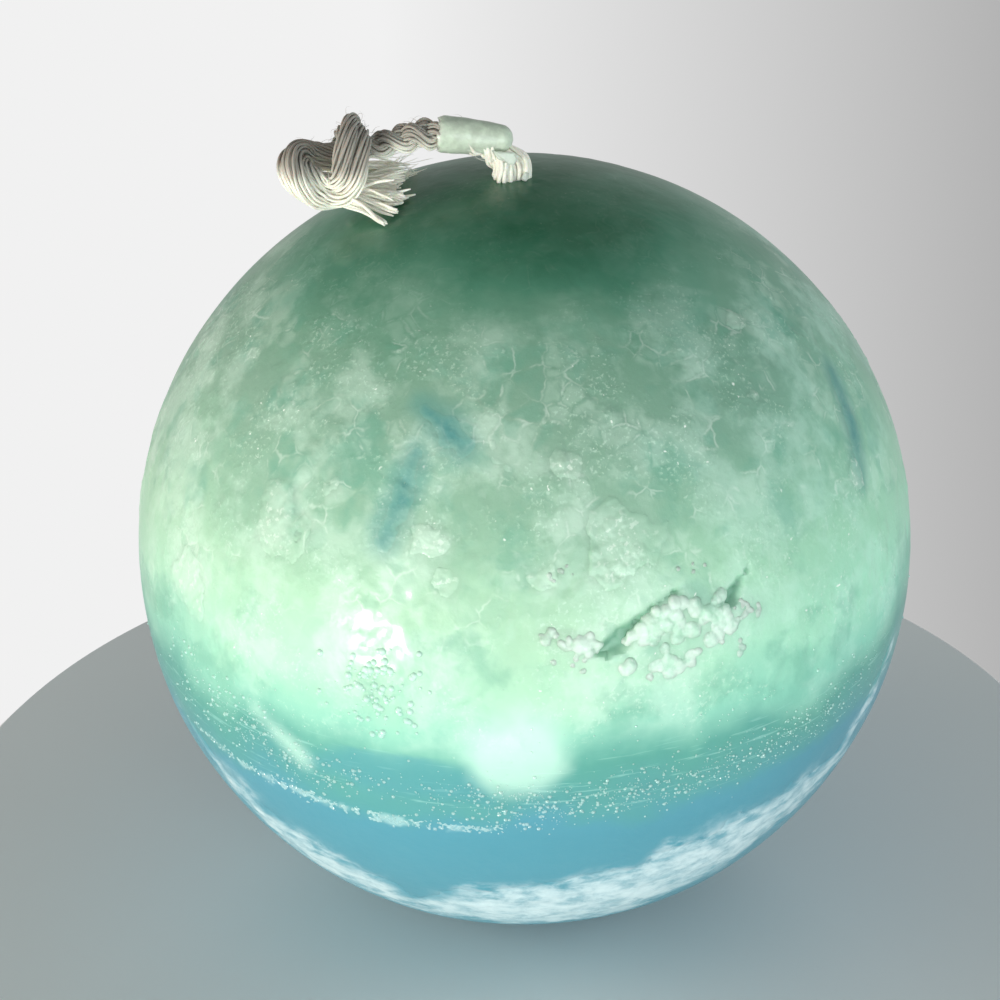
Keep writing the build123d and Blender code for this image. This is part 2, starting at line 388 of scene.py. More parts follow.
SLIVERS = [
    [(-17.6, 38.5, 0.7), (-18.8, 32.5, 1.25), (-20.8, 26.5, 0.95)],
    [(-17.5, 44.5, 0.7), (-13.5, 42.3, 1.35), (-9.8, 39.7, 1.15)],
    [(68.5, 36, 0.7), (65, 29, 1.3), (60.5, 21.5, 0.7)],
    [(126, 30, 0.5), (128, 24, 0.9), (131, 18, 0.5)],
    [(-164, 39, 0.6), (-158, 41, 1.2), (-152, 43, 0.7)],
    [(-102, 25, 0.5), (-104, 18, 1.0), (-107, 11, 0.5)],
]
# Painted light: bands where a pale mint glow of light is painted into the wax's colour, as azimuth, latitude
# and half width in mm
PAINTED_GLOWS = [
    [(-3.4, -2.0, 4.0), (-0.6, -1.8, 4.0)],
    [(-1.4, 2.0, 1.6), (-1.2, 3.6, 1.0)],
    [(-40, -1.5, 0.3), (-36.5, -4, 0.8), (-33, -6.5, 0.6)],
]
POOL = [(-31, -6.5, 1.0), (-24, -6.0, 2.4), (-15, -6.0, 2.6), (-9, -7.0, 1.8), (-6, -9.5, 1.0)]
BLISTERS = (-20, 11)
CREVICE = [
    (9.6, 12.4, 0.3), (11, 13.1, 1.0), (12.5, 14.0, 1.1), (14.4, 15.4, 0.7), (16.5, 16.9, 0.4),
    (19, 18.2, 0.35),
    (22.5, 19.2, 0.1), (25.5, 17.2, -0.6), (27.8, 15.0, 0.5), (29, 16.1, 0.8), (30.3, 17.3, 0.5),
    (32.6, 19.3, 0.05),
]  # fmt: skip
BANK = [(3, 13.5, 0.8), (8, 12.5, 1.0), (14, 12.2, 1.6), (20, 14.0, 2.0), (26, 13.2, 2.4), (31, 12.6, 1.0)]
# Clusters of crumbs: azimuth, latitude, spread in mm, how many, smallest and largest radius in mm
CLUSTERS = [
    (3.0, 14.9, 0.5, 7, 0.25, 0.6), (5.2, 14.4, 0.6, 8, 0.25, 0.7), (7.6, 14.1, 0.6, 9, 0.3, 0.8),
    (9.0, 13.4, 0.4, 6, 0.25, 0.6), (6.5, 12.4, 1.1, 10, 0.2, 0.45), (13.6, 13.0, 0.3, 4, 0.4, 0.6),
    (15.6, 13.6, 0.8, 9, 0.6, 1.3), (16.8, 15.5, 0.2, 2, 0.5, 0.7), (18.8, 15.0, 0.2, 2, 0.7, 0.9),
    (18.2, 16.6, 0.3, 3, 0.6, 0.8), (20.9, 16.9, 0.5, 4, 0.7, 1.1), (22.4, 13.5, 0.2, 2, 0.7, 0.9),
    (19.8, 13.4, 0.9, 9, 0.4, 0.9), (23.6, 15.6, 0.9, 10, 0.5, 1.0), (27.2, 16.6, 0.4, 5, 0.5, 0.8),
    (25.8, 14.8, 0.5, 7, 0.4, 0.8), (26.0, 12.7, 0.8, 14, 0.4, 1.0), (26.4, 11.3, 0.7, 6, 0.3, 0.7),
    (28.6, 12.8, 0.7, 6, 0.3, 0.6), (30.8, 14.4, 0.5, 14, 0.2, 0.45), (33.0, 12.8, 0.4, 7, 0.2, 0.4),
    (29.3, 9.2, 0.7, 4, 0.3, 0.5), (17.5, 10.2, 1.6, 7, 0.5, 1.2), (22.0, 10.2, 1.2, 6, 0.4, 0.9),
    (24, 21.4, 1.0, 4, 0.2, 0.35), (4.4, 23.2, 0.6, 8, 0.2, 0.5),
]  # fmt: skip

# ---------------------------------------------------------------- the pours of wax

COLUMNS = 720
ROW_STEP = 0.36 * MM
CAP_RINGS = 6
# Across the foot: flat to the top-up, then a step up behind it and in to the wick, as (distance out, rise)
FOOT_PATH = [(TOP_UP_R, 0), (TOP_UP_R - 0.46 * MM, 1 * MM), (WICK_R, 1 * MM)]


def seam_waviness(directions, seed):
    """How far a border between two pours wanders up and down."""
    return rough_noise(directions * BALL_R, 9 * MM, 3, seed) * 0.7 * MM


def relief(directions):
    """How far the wax stands out of the true ball at each direction."""
    points = directions * BALL_R
    height = points[:, 2]
    push = np.stack([rough_noise(points, 2.4 * MM, 2, 40 + k) for k in range(3)], axis=1)
    warped = points + push * 0.8 * MM
    broken = ramp(height, -1 * MM, 4 * MM) * (1 - 0.75 * ramp(height, 25 * MM, 34 * MM))
    patchy = ramp(rough_noise(points, 7 * MM, 3, 21), -0.15, 0.45)
    total = rough_noise(points, 12 * MM, 2, 60) * 0.07 * MM
    for size, step, seed in ((3.6 * MM, 0.17 * MM, 3), (1.7 * MM, 0.13 * MM, 13)):
        edge, which = chunks(warped, size, seed)
        total += broken * patchy * (which - 0.55) * step * ramp(edge, 0, 0.16 * size)
    total += rough_noise(points, 1.0 * MM, 2, 33) * 0.045 * MM * broken * patchy
    crevice = inside_band(directions, CREVICE) + rough_noise(points, 1.1 * MM, 3, 71) * 0.5 * MM
    blistered = ramp(np.linalg.norm(points - outward(*BLISTERS) * BALL_R, axis=1), 7 * MM, 2 * MM)
    total += blistered * rough_noise(points, 1.7 * MM, 3, 44) * 0.07 * MM
    groove = -0.75 * MM * ramp(crevice, -0.25 * MM, 0.7 * MM)
    bank = 0.25 * MM * ramp(inside_band(directions, BANK), -1.5 * MM, 0.8 * MM)
    return total + groove + bank


def polar_rows(low, high, rows):
    """Directions from one border to another, where low and high give each column's latitude."""
    turn = np.linspace(0, 360, COLUMNS, endpoint=False)
    share = np.linspace(0, 1, rows)[:, None]
    latitude = low[None, :] * (1 - share) + high[None, :] * share
    return outward(np.broadcast_to(turn, latitude.shape), latitude)


def border_latitude(height, seed):
    """The latitude of a border at each column. With no seed it is level."""
    turn = np.linspace(0, 360, COLUMNS, endpoint=False)
    level = math.degrees(math.asin(height / BALL_R))
    if seed is None:
        return np.full(COLUMNS, level)
    wave = seam_waviness(outward(turn, np.full(COLUMNS, level)), seed)
    return np.degrees(np.arcsin((height + wave) / BALL_R))


def pour(name, low, high):
    """A closed layer of wax with the wick's hole in it.

    Each border is (height above the ball's centre, seed). One with no seed is level.
    """
    low_latitude, high_latitude = border_latitude(*low), border_latitude(*high)
    rows = max(8, round((high_latitude.mean() - low_latitude.mean()) * math.pi / 180 * BALL_R / ROW_STEP))
    wall = polar_rows(low_latitude, high_latitude, rows)
    flat = wall.reshape(-1, 3)
    radius = BALL_R + relief(flat)
    layers = (flat * radius[:, None]).reshape(rows, COLUMNS, 3)

    def cap(rim, foot=False):
        rings = []
        out = np.linalg.norm(rim[:, :2], axis=1)
        if foot:
            for reach, rise in FOOT_PATH:
                ring = rim.copy()
                ring[:, :2] *= (reach / out)[:, None]
                ring[:, 2] = rim[:, 2].mean() + rise
                rings.append(ring)
            return rings
        for i in range(1, CAP_RINGS + 1):
            share = i / CAP_RINGS
            reach = out * (1 - share) + WICK_R * share
            ring = rim.copy()
            ring[:, :2] *= (reach / out)[:, None]
            ring[:, 2] = rim[:, 2] * (1 - share) + rim[:, 2].mean() * share
            rings.append(ring)
        return rings

    stack = [*reversed(cap(layers[0], low[1] is None)), *layers, *cap(layers[-1])]
    points = np.concatenate(stack) + np.array(CENTRE)
    faces = []
    total = len(stack)
    for i in range(total):
        row, above = i * COLUMNS, (i + 1) % total * COLUMNS
        for k in range(COLUMNS):
            beside = (k + 1) % COLUMNS
            faces.append((row + k, row + beside, above + beside, above + k))
    made = mesh_object(name, points, faces)
    made.data.set_sharp_from_angle(angle=math.radians(28))
    mark(made)
    return made


def mark(made):
    """Stores where the frost, slivers, painted glow of light, crevice, crust, pool and seams are, for the
    wax's material.
    """
    points = from_centre(made)
    directions = points / np.linalg.norm(points, axis=1)[:, None]
    fray = rough_noise(points, 3.2 * MM, 4, 90)
    frost = np.max([inside_band(directions, band) for band in (FROST_RIGHT, FROST_LEFT, FROST_BACK)], axis=0)
    skin = ramp(np.linalg.norm(points, axis=1), BALL_R - 1.0 * MM, BALL_R - 0.5 * MM)
    give(made, "frost", ramp(frost + fray * 2.2 * MM, -1.6 * MM, 2.4 * MM) * skin)
    crust = inside_band(directions, CRUST_LINE)
    give(made, "crust", ramp(crust + rough_noise(points, 1.4 * MM, 3, 92) * 0.7 * MM, -0.1 * MM, 0.5 * MM))
    sliver = np.max([inside_band(directions, band) for band in SLIVERS], axis=0)
    give(made, "sliver", ramp(sliver + fray * 0.6 * MM, -1.6 * MM, 0.5 * MM))
    # The painted glow: where pale mint light is painted on the wax
    painted_glow = np.max([inside_band(directions, band) for band in PAINTED_GLOWS], axis=0)
    give(made, "painted_glow", ramp(painted_glow + rough_noise(points, 3 * MM, 3, 95) * 0.6 * MM, -1.5 * MM, 1.9 * MM))
    pool = inside_band(directions, POOL) + rough_noise(points, 4 * MM, 3, 97) * 0.8 * MM
    give(made, "pool", ramp(pool, -1.0 * MM, 1.6 * MM) * ramp(points[:, 2], -1.6 * MM, -2.1 * MM))
    crevice = inside_band(directions, CREVICE)
    give(made, "crevice", ramp(crevice, -0.3 * MM, 0.6 * MM))
    borders = [np.abs(points[:, 2] - height - seam_waviness(directions, seed)) for height, seed in BORDERS]
    give(made, "seam", 1 - ramp(np.min(borders, axis=0), 0.4 * MM, 3.5 * MM))


def from_centre(made):
    """Every vertex of a piece, as seen from the ball's centre."""
    points = np.empty(3 * len(made.data.vertices))
    made.data.vertices.foreach_get("co", points)
    return points.reshape(-1, 3) - np.array(CENTRE)


def fill_corners(kept):
    """Adds cells until no two kept cells touch at a corner alone."""
    while True:
        a, b, c, d = kept[:-1, :-1], kept[1:, 1:], kept[1:, :-1], kept[:-1, 1:]
        lonely = (a & b & ~c & ~d) | (c & d & ~a & ~b)
        if not lonely.any():
            return
        for part in (a, b, c, d):
            part |= lonely


PATCH_THICK = 0.7 * MM


def patch(name, depth_of, azimuths, latitudes, lift, spacing=0.25 * MM, sink=0.25 * MM, fade=1.1 * MM):
    """A thin closed piece lying on the wax wherever depth_of(directions) is above zero.

    lift(directions, depth) is how far its face stands out of the wax, and sink how far its rim lies under it.
    """
    step = math.degrees(spacing / BALL_R)
    latitude = np.arange(*latitudes, step)
    azimuth = np.arange(*azimuths, step / math.cos(math.radians(sum(latitudes) / 2)))
    turn, rise = np.meshgrid(azimuth, latitude, indexing="ij")
    directions = outward(turn, rise).reshape(-1, 3)
    depth = depth_of(directions)
    inside = depth.reshape(turn.shape) > -0.35 * MM
    kept = inside[:-1, :-1] & inside[1:, :-1] & inside[1:, 1:] & inside[:-1, 1:]
    kept[0, :] = kept[-1, :] = kept[:, 0] = kept[:, -1] = False
    fill_corners(kept)
    i, j = np.nonzero(kept)
    across = turn.shape[1]
    corner = i * across + j
    quads = np.stack([corner, corner + across, corner + across + 1, corner + 1], axis=1)
    used, local = np.unique(quads, return_inverse=True)
    quads = local.reshape(quads.shape)
    directions, depth = directions[used], depth[used]
    ground = BALL_R + relief(directions)
    shown = ramp(depth, -0.3 * MM, 0.35 * MM)
    face = ground - sink * (1 - shown) + lift(directions, depth) * shown
    under = directions * (ground - PATCH_THICK)[:, None]
    points = np.concatenate([directions * face[:, None], under]) + np.array(CENTRE)
    count = len(used)
    edges = np.concatenate([quads[:, [k, (k + 1) % 4]] for k in range(4)])
    backwards = {(b, a) for a, b in edges.tolist()}
    rim = [(a, b) for a, b in edges.tolist() if (a, b) not in backwards]
    faces = quads.tolist() + (quads[:, ::-1] + count).tolist()
    faces += [(b, a, a + count, b + count) for a, b in rim]
    made = mesh_object(name, points, faces)
    mark(made)
    give(made, "tint", np.concatenate([ramp(depth, -0.2 * MM, fade), np.zeros(count)]))
    return made


SEAM_BLUE, SEAM_MINT, SEAM_GREEN = 201, 202, 203
WICK_HOLE_TOP = math.sqrt(BALL_R**2 - WICK_R**2)
BORDERS = [(BLUE_TOP, SEAM_BLUE), (0, SEAM_MINT), (GREEN_START, SEAM_GREEN)]
pours = {
    "blue_base_wax": pour("blue_base_wax", (-CENTRE.z, None), (BLUE_TOP, SEAM_BLUE)),
    "teal_wax": pour("teal_wax", (BLUE_TOP, SEAM_BLUE), (0, SEAM_MINT)),
    "mint_chunk_wax": pour("mint_chunk_wax", (0, SEAM_MINT), (GREEN_START, SEAM_GREEN)),
    "green_top_wax": pour("green_top_wax", (GREEN_START, SEAM_GREEN), (WICK_HOLE_TOP, None)),
}

# ---------------------------------------------------------------- materials


class Nodes:
    """A short way to write a material's nodes."""

    def __init__(self, name):
        self.material = bpy.data.materials.new(name)
        self.material.use_nodes = True
        self.tree = self.material.node_tree
        self.shader = self.tree.nodes["Principled BSDF"]

    def add(self, kind, sockets=None, **settings):
        """A node of a kind, with settings, and with its sockets set or linked."""
        node = self.tree.nodes.new(kind)
        for key, value in settings.items():
            setattr(node, key, value)
        for key, value in (sockets or {}).items():
            self.put(node.inputs[key], value)
        return node

    def put(self, socket, value):
        if isinstance(value, bpy.types.NodeSocket):
            self.tree.links.new(value, socket)
        else:
            socket.default_value = value

    def surface(self, name, value):
        """Sets or links one socket of the material's shader."""
        self.put(self.shader.inputs[name], value)

    def place(self):
        """The place in the part's own frame, in millimetres from the ball's centre."""
        here = self.add("ShaderNodeTexCoord").outputs["Object"]
        moved = self.add("ShaderNodeVectorMath", {0: here, 1: CENTRE}, operation="SUBTRACT").outputs[0]
        return self.add("ShaderNodeVectorMath", {0: moved, "Scale": 1 / MM}, operation="SCALE").outputs[0]

    def scaled(self, vector, factor):
        return self.add("ShaderNodeVectorMath", {0: vector, "Scale": factor}, operation="SCALE").outputs[0]

    def moved(self, vector, by):
        return self.add("ShaderNodeVectorMath", {0: vector, 1: by}, operation="ADD").outputs[0]

    def stretched(self, vector, by):
        return self.add("ShaderNodeVectorMath", {0: vector, 1: by}, operation="MULTIPLY").outputs[0]

    def noise(self, place, scale, detail=3.0, rough=0.5, distort=0.0, output="Fac"):
        sockets = {"Vector": place, "Scale": scale, "Detail": detail}
        sockets |= {"Roughness": rough, "Distortion": distort}
        return self.add("ShaderNodeTexNoise", sockets).outputs[output]

    def warped(self, place):
        """A place pushed about by noise, so that what is drawn there has uneven outlines."""
        return self.moved(place, self.scaled(self.noise(place, 0.4, 3.0, output="Color"), 1.6))

    def bump(self, height, strength, distance):
        sockets = {"Height": height, "Strength": strength, "Distance": distance}
        return self.add("ShaderNodeBump", sockets).outputs[0]

    def math(self, operation, a, b):
        return self.add("ShaderNodeMath", {0: a, 1: b}, operation=operation).outputs[0]

    def times(self, a, b):
        return self.math("MULTIPLY", a, b)

    def step(self, value, low, high, to_low=0.0, to_high=1.0):
        sockets = {"Value": value, "From Min": low, "From Max": high, "To Min": to_low, "To Max": to_high}
        return self.add("ShaderNodeMapRange", sockets, interpolation_type="SMOOTHSTEP").outputs[0]

    def mix(self, share, a, b, blend="MIX"):
        node = self.add("ShaderNodeMix", data_type="RGBA", blend_type=blend)
        self.put(node.inputs[0], share)
        self.put(node.inputs[6], (*a, 1) if isinstance(a, tuple) else a)
        self.put(node.inputs[7], (*b, 1) if isinstance(b, tuple) else b)
        return node.outputs[2]

    def colours(self, value, stops):
        """A colour ramp from (position, colour) stops."""
        node = self.add("ShaderNodeValToRGB", {0: value})
        elements = node.color_ramp.elements
        while len(elements) < len(stops):
            elements.new(0.5)
        for element, (position, colour) in zip(elements, stops):
            element.position = position
            element.color = (*colour, 1)
        return node.outputs[0]

    def attribute(self, name):
        return self.add("ShaderNodeAttribute", attribute_name=name).outputs["Fac"]


# Wax colours by height, from the foot at 0 to the top at 1
HEIGHT_COLOURS = [
    (0.00, (0.094, 0.320, 0.400)),
    (0.372, (0.094, 0.325, 0.408)),
    (0.402, (0.099, 0.345, 0.350)),
    (0.460, (0.107, 0.378, 0.315)),
    (0.510, (0.290, 0.640, 0.490)),
    (0.570, (0.470, 0.780, 0.570)),
    (0.650, (0.440, 0.700, 0.495)),
    (0.740, (0.318, 0.535, 0.385)),
    (0.830, (0.262, 0.440, 0.325)),
    (0.895, (0.215, 0.400, 0.285)),
    (0.945, (0.085, 0.265, 0.170)),
    (1.000, (0.018, 0.135, 0.065)),
]
WHITE_WAX = (0.72, 0.92, 0.78)
# Painted light: the bluish tint of the light that falls on the right side
PAINTED_RIGHT_LIGHT = (0.70, 1.0, 1.0)
SLIVER_BLUE = (0.120, 0.355, 0.310)
# The pale mint of the painted glow of light
PAINTED_GLOW_MINT = (0.66, 0.95, 0.80)
FROST_WHITE = (0.69, 0.83, 0.85)
DEEP_GREEN = (0.13, 0.40, 0.29)


def wax_colour(n, place):
    """The colour and roughness of the poured wax, and how mottled it is.

    The height sets the colour, with chunks, crystals and the marked features on top.
    Painted light is in it too: a bluish tint on the right side, white glints, a pale glow in patches and
    shade in the crevice.
    """
    wander = n.times(n.math("SUBTRACT", n.noise(place, 0.085, 4.0, 0.55), 0.5), 0.13)
    height = n.add("ShaderNodeSeparateXYZ", {0: place}).outputs["Z"]
    level = n.times(n.math("ADD", height, BALL_R / MM), 0.5 * MM / BALL_R)
    colour = n.colours(n.math("ADD", level, wander), HEIGHT_COLOURS)

    mottled = n.step(n.math("ADD", level, wander), 0.47, 0.53)
    below_top = n.times(mottled, n.step(level, 0.86, 0.96, 1.0, 0.10))
    warped = n.warped(place)
    clouds = n.step(n.noise(warped, 0.14, 5.0, 0.62), 0.44, 0.62)
    colour = n.mix(n.times(n.times(clouds, below_top), 0.34), colour, WHITE_WAX)
    deeps = n.step(n.noise(n.moved(warped, (31.0, 7.0, 12.0)), 0.12, 4.0, 0.6), 0.50, 0.66)
    colour = n.mix(n.times(n.times(deeps, below_top), 0.42), colour, DEEP_GREEN)

    # Painted light: the right side is tinted bluish, as the light falls there
    side = n.add("ShaderNodeSeparateXYZ", {0: place}).outputs["X"]
    right_light_share = n.times(n.step(side, 2.0, 36.0, 0.0, 0.55), mottled)
    colour = n.mix(right_light_share, colour, PAINTED_RIGHT_LIGHT, "MULTIPLY")
    chunky = n.times(n.step(n.noise(place, 0.15, 4.0, 0.65), 0.47, 0.58), below_top)
    outlined = n.times(n.step(n.noise(place, 0.22, 2.0, 0.5), 0.48, 0.60), below_top)
    outlined = n.times(outlined, n.step(level, 0.58, 0.66))
    sockets = {"Vector": warped, "Scale": 0.42}
    edge = n.add("ShaderNodeTexVoronoi", sockets, feature="DISTANCE_TO_EDGE").outputs["Distance"]
    which = n.add("ShaderNodeTexVoronoi", sockets).outputs["Color"]
    shade = n.times(n.step(edge, 0.0, 0.16, 0.0, 0.24), outlined)
    colour = n.mix(n.times(shade, n.step(which, 0.25, 0.75)), colour, WHITE_WAX)
    colour = n.mix(n.times(shade, n.step(which, 0.55, 0.15)), colour, DEEP_GREEN)
    broken = n.step(n.noise(place, 0.55, 3.0, 0.6), 0.40, 0.60)
    rim = n.times(n.times(n.step(edge, 0.0, 0.07, 1.0, 0.0), broken), outlined)
    colour = n.mix(n.times(rim, 0.34), colour, (0.86, 0.97, 0.88))
    grainy = n.step(n.noise(place, 2.6, 2.0, 0.6), 0.54, 0.70)
    colour = n.mix(n.times(n.times(grainy, chunky), 0.38), colour, WHITE_WAX)
    # Painted highlights: small near-white glints on the crystals
    painted_glint = n.times(n.step(n.noise(place, 1.9, 1.0), 0.74, 0.80), chunky)
    crystal = n.math("MAXIMUM", painted_glint, n.times(chunky, 0.4))
    colour = n.mix(n.times(painted_glint, 0.85), colour, (0.95, 1.0, 0.93))

    teal = n.times(n.step(level, 0.385, 0.41), n.step(level, 0.50, 0.46))
    layers = n.step(n.noise(n.stretched(place, (0.22, 0.22, 3.2)), 1.0, 3.0, 0.6), 0.58, 0.68)
    colour = n.mix(n.times(n.times(layers, teal), 0.30), colour, (0.45, 0.80, 0.72))
    colour = n.mix(n.times(n.attribute("pool"), 0.60), colour, (0.095, 0.350, 0.400))
    colour = n.mix(n.times(n.attribute("sliver"), 0.55), colour, SLIVER_BLUE)
    # Painted light: a pale mint glow painted over the marked patches
    colour = n.mix(n.times(n.attribute("painted_glow"), 0.66), colour, PAINTED_GLOW_MINT)
    streak = n.noise(n.stretched(place, (0.6, 0.6, 1.1)), 0.6, 5.0, 0.65, 0.3)
    frost = n.times(n.attribute("frost"), n.step(streak, 0.34, 0.66))
    colour = n.mix(n.times(frost, 0.75), colour, FROST_WHITE)
    colour = n.mix(n.times(n.attribute("crust"), 0.45), colour, (0.60, 0.84, 0.82))
    # Painted shade: the crevice's groove is coloured darker, as shade falls in it
    colour = n.mix(n.times(n.attribute("crevice"), 0.70), colour, (0.11, 0.33, 0.22))
    dull = n.math("MAXIMUM", n.attribute("frost"), n.times(crystal, 0.6))
    roughness = n.step(n.math("ADD", dull, n.times(mottled, 0.15)), 0.0, 1.0, 0.30, 0.62)
    return colour, roughness, below_top


def wax_surface(n, place, mottled):
    """The wax's fine relief: soft waves, with a little grain and some crystal facets where it is mottled."""
    warped = n.warped(place)
    here = n.step(n.noise(place, 0.15, 4.0, 0.65), 0.46, 0.60)
    facets = n.add("ShaderNodeTexVoronoi", {"Vector": warped, "Scale": 0.84}).outputs["Distance"]
    broken = n.times(n.times(n.times(facets, 0.7), here), mottled)
    fine = n.times(n.noise(place, 2.6, 3.0, 0.6), n.step(mottled, 0.0, 1.0, 0.08, 0.22))
    waves = n.times(n.noise(place, 0.45, 2.0), 0.7)
    height = n.math("ADD", n.math("ADD", broken, fine), waves)
    return n.bump(height, 0.5, 0.2 * MM)


def wax_material(name, tint=None, share=0.0, rough=None, through=True, thin=0.5, grains=0.0):
    """Wax for a pour, or for a patch that fades from the pour's colour at its rim to a tint in its middle."""
    n = Nodes(name)
    place = n.place()
    colour, roughness, mottled = wax_colour(n, place)
    if tint:
        uneven = n.noise(n.stretched(place, (0.7, 0.7, 1.0)), 0.45, 6.0, 0.68, 0.3)
        veil = n.step(uneven, 0.38, 0.62, thin, 1.0)
        cover = n.times(n.times(n.attribute("tint"), veil), share)
        colour = n.mix(cover, colour, tint)
    if grains:
        grain = n.step(n.noise(place, 1.5, 2.0, 0.6), 0.55, 0.66)
        colour = n.mix(n.times(n.times(grain, n.attribute("tint")), grains), colour, (0.9, 1.0, 0.9))
    n.surface("Base Color", colour)
    n.surface("Roughness", roughness if rough is None else rough)
    if through:
        n.surface("Subsurface Weight", n.step(n.attribute("seam"), 0.0, 1.0, 0.35, 0.0))
        n.surface("Subsurface Radius", (0.8, 1.0, 0.9))
        n.surface("Subsurface Scale", 2.5 * MM)
    n.surface("Specular IOR Level", 0.30)
    n.surface("Coat Weight", 0.18)
    n.surface("Coat Roughness", 0.09)
    n.surface("Normal", wax_surface(n, place, mottled))
    return n.material


def add_piece(made, material, body="candle", nodes=()):
    """Gives a piece its material and its body, and hides the nodes it stands for."""
    made.data.materials.append(material)
    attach(made, body)
    if nodes:
        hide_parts(*nodes)


POUR_NODES = {
    "blue_base_wax": ("blue_base_pour", "wax_blue"),
    "teal_wax": ("teal_pour", "wax_teal"),
    "mint_chunk_wax": ("mint_chunk_pour", "wax_mint"),
    "green_top_wax": ("green_top_pour", "wax_green"),
}
for name, (node, slot) in POUR_NODES.items():
    add_piece(pours[name], wax_material(slot), nodes=[node])

# ---------------------------------------------------------------- frost, slivers, chunks and crust


def at_places(places):
    """A depth function for round patches given as (azimuth, latitude, radius in mm), with ragged outlines."""

    def depth_of(directions):
        points = directions * BALL_R
        ragged = rough_noise(points, 2.6 * MM, 4, 110) * 1.5 * MM
        best = np.full(len(points), -np.inf)
        for azimuth, latitude, radius in places:
            distance = np.linalg.norm(points - outward(azimuth, latitude) * BALL_R, axis=1)
            best = np.maximum(best, radius * MM - distance)
        return best + ragged

    return depth_of


def along_bands(bands, ragged=0.0, size=2.5 * MM, seed=90):
    """A depth function for patches along bands, with outlines that wander by the ragged distance."""

    def depth_of(directions):
        wander = rough_noise(directions * BALL_R, size, 4, seed) * ragged
        return np.max([inside_band(directions, band) for band in bands], axis=0) + wander

    return depth_of


def crusty(height, size, seed):
    """A lift with hard little ridges and pits."""

    def lift(directions, depth):
        points = directions * BALL_R
        streaked = points * np.array([0.8, 0.8, 1.3])
        ridges = 1 - np.abs(rough_noise(streaked, size, 4, seed))
        lumps = rough_noise(points, 3 * size, 2, seed + 9)
        return height * (0.35 + 0.9 * ridges**3 + 0.35 * lumps) * ramp(depth, 0, 1.6 * MM)

    return lift


def faceted(height, size, seed):
    """A lift with small flat-topped crystals."""

    def lift(directions, depth):
        points = directions * BALL_R
        warped = points + rough_noise(points, size, 2, seed)[:, None] * 0.35 * size
        edge, which = chunks(warped, size, seed)
        return height * (0.25 + which * ramp(edge, 0, 0.2 * size)) * ramp(depth, -0.2 * MM, 0.8 * MM)

    return lift


def smooth_lift(height):
    return lambda directions, depth: height * ramp(depth, 0, 0.6 * MM)


frost_white = wax_material("wax_frost", FROST_WHITE, 0.82, rough=0.55, through=False, thin=0.35)
FROST_RAGGED = 1.5 * MM
FROST_FADE = 5.0 * MM
add_piece(
    patch(
        "frost_right", along_bands([FROST_RIGHT], FROST_RAGGED), (-30, 76), (-54, 4),
        crusty(0.07 * MM, 1.3 * MM, 120), fade=FROST_FADE,
    ),
    frost_white, nodes=["frost_skin_right"],
)  # fmt: skip
add_piece(
    patch(
        "frost_left", along_bands([FROST_LEFT], FROST_RAGGED), (-74, -12), (-58, 2),
        crusty(0.07 * MM, 1.3 * MM, 130), fade=FROST_FADE,
    ),
    frost_white, nodes=["frost_skin_left"],
)  # fmt: skip
POUR_LINE = [(-27.5, -2.5, 0.02), (-22, -2.7, 0.16), (-15, -2.7, 0.14), (-9.5, -2.4, 0.03)]
add_piece(
    patch(
        "pour_line", along_bands([POUR_LINE]), (-29, -8), (-4.5, -0.5), smooth_lift(0.16 * MM),
        0.09 * MM, 0.15 * MM,
    ),
    wax_material("wax_pour_line", (0.60, 0.92, 0.82), 0.9, through=False),
)  # fmt: skip
sliver_wax = wax_material("wax_sliver", (0.052, 0.252, 0.262), 0.72, through=False)
for i, band in enumerate(SLIVERS):
    azimuths = [station[0] for station in band]
    latitudes = [station[1] for station in band]
    add_piece(
        patch(
            f"blue_sliver_{i + 1}",
            along_bands([band], 0.5 * MM, 1.5 * MM, 96),
            (min(azimuths) - 5, max(azimuths) + 5),
            (min(latitudes) - 4, max(latitudes) + 4),
            smooth_lift(0.015 * MM),
            0.2 * MM,
            0.04 * MM,
            fade=1.35 * MM,
        ),
        sliver_wax,
        nodes=["blue_slivers"],
    )

CHUNKS = [
    (13.7, 26.6, 3.9), (52.6, 49.9, 1.0), (45.1, 39.8, 1.0), (-30, 33, 1.2), (-4, 38, 1.4), (7, 36.5, 1.2),
    (-10, 22, 1.0), (-14, 27, 0.9), (2, 22.5, 0.9), (60, 22, 1.4), (98, 31, 3.6), (142, 12, 3.2),
    (176, 34, 3.7),
    (226, 16, 3.4), (268, 40, 3.0), (-38, 26, 3.2), (-56, 12, 3.2),
]  # fmt: skip
crystal_wax = wax_material("wax_pale", (0.66, 0.82, 0.69), 0.30, rough=0.30, through=False, grains=0.40)
for i, (azimuth, latitude, radius) in enumerate(CHUNKS):
    reach = math.degrees((radius + 2.5) * MM / BALL_R)
    wide = reach / math.cos(math.radians(latitude))
    add_piece(
        patch(
            f"pale_chunk_{i + 1}",
            at_places([(azimuth, latitude, radius)]),
            (azimuth - wide, azimuth + wide),
            (latitude - reach, latitude + reach),
            faceted(0.08 * MM, 0.8 * MM, 150 + i),
            0.18 * MM,
            0.07 * MM,
            fade=max(0.6 * radius, 1) * MM,
        ),
        crystal_wax,
        nodes=["pale_chunks"],
    )

# ---------------------------------------------------------------- crumbs and bubbles

dice = random.Random(7)


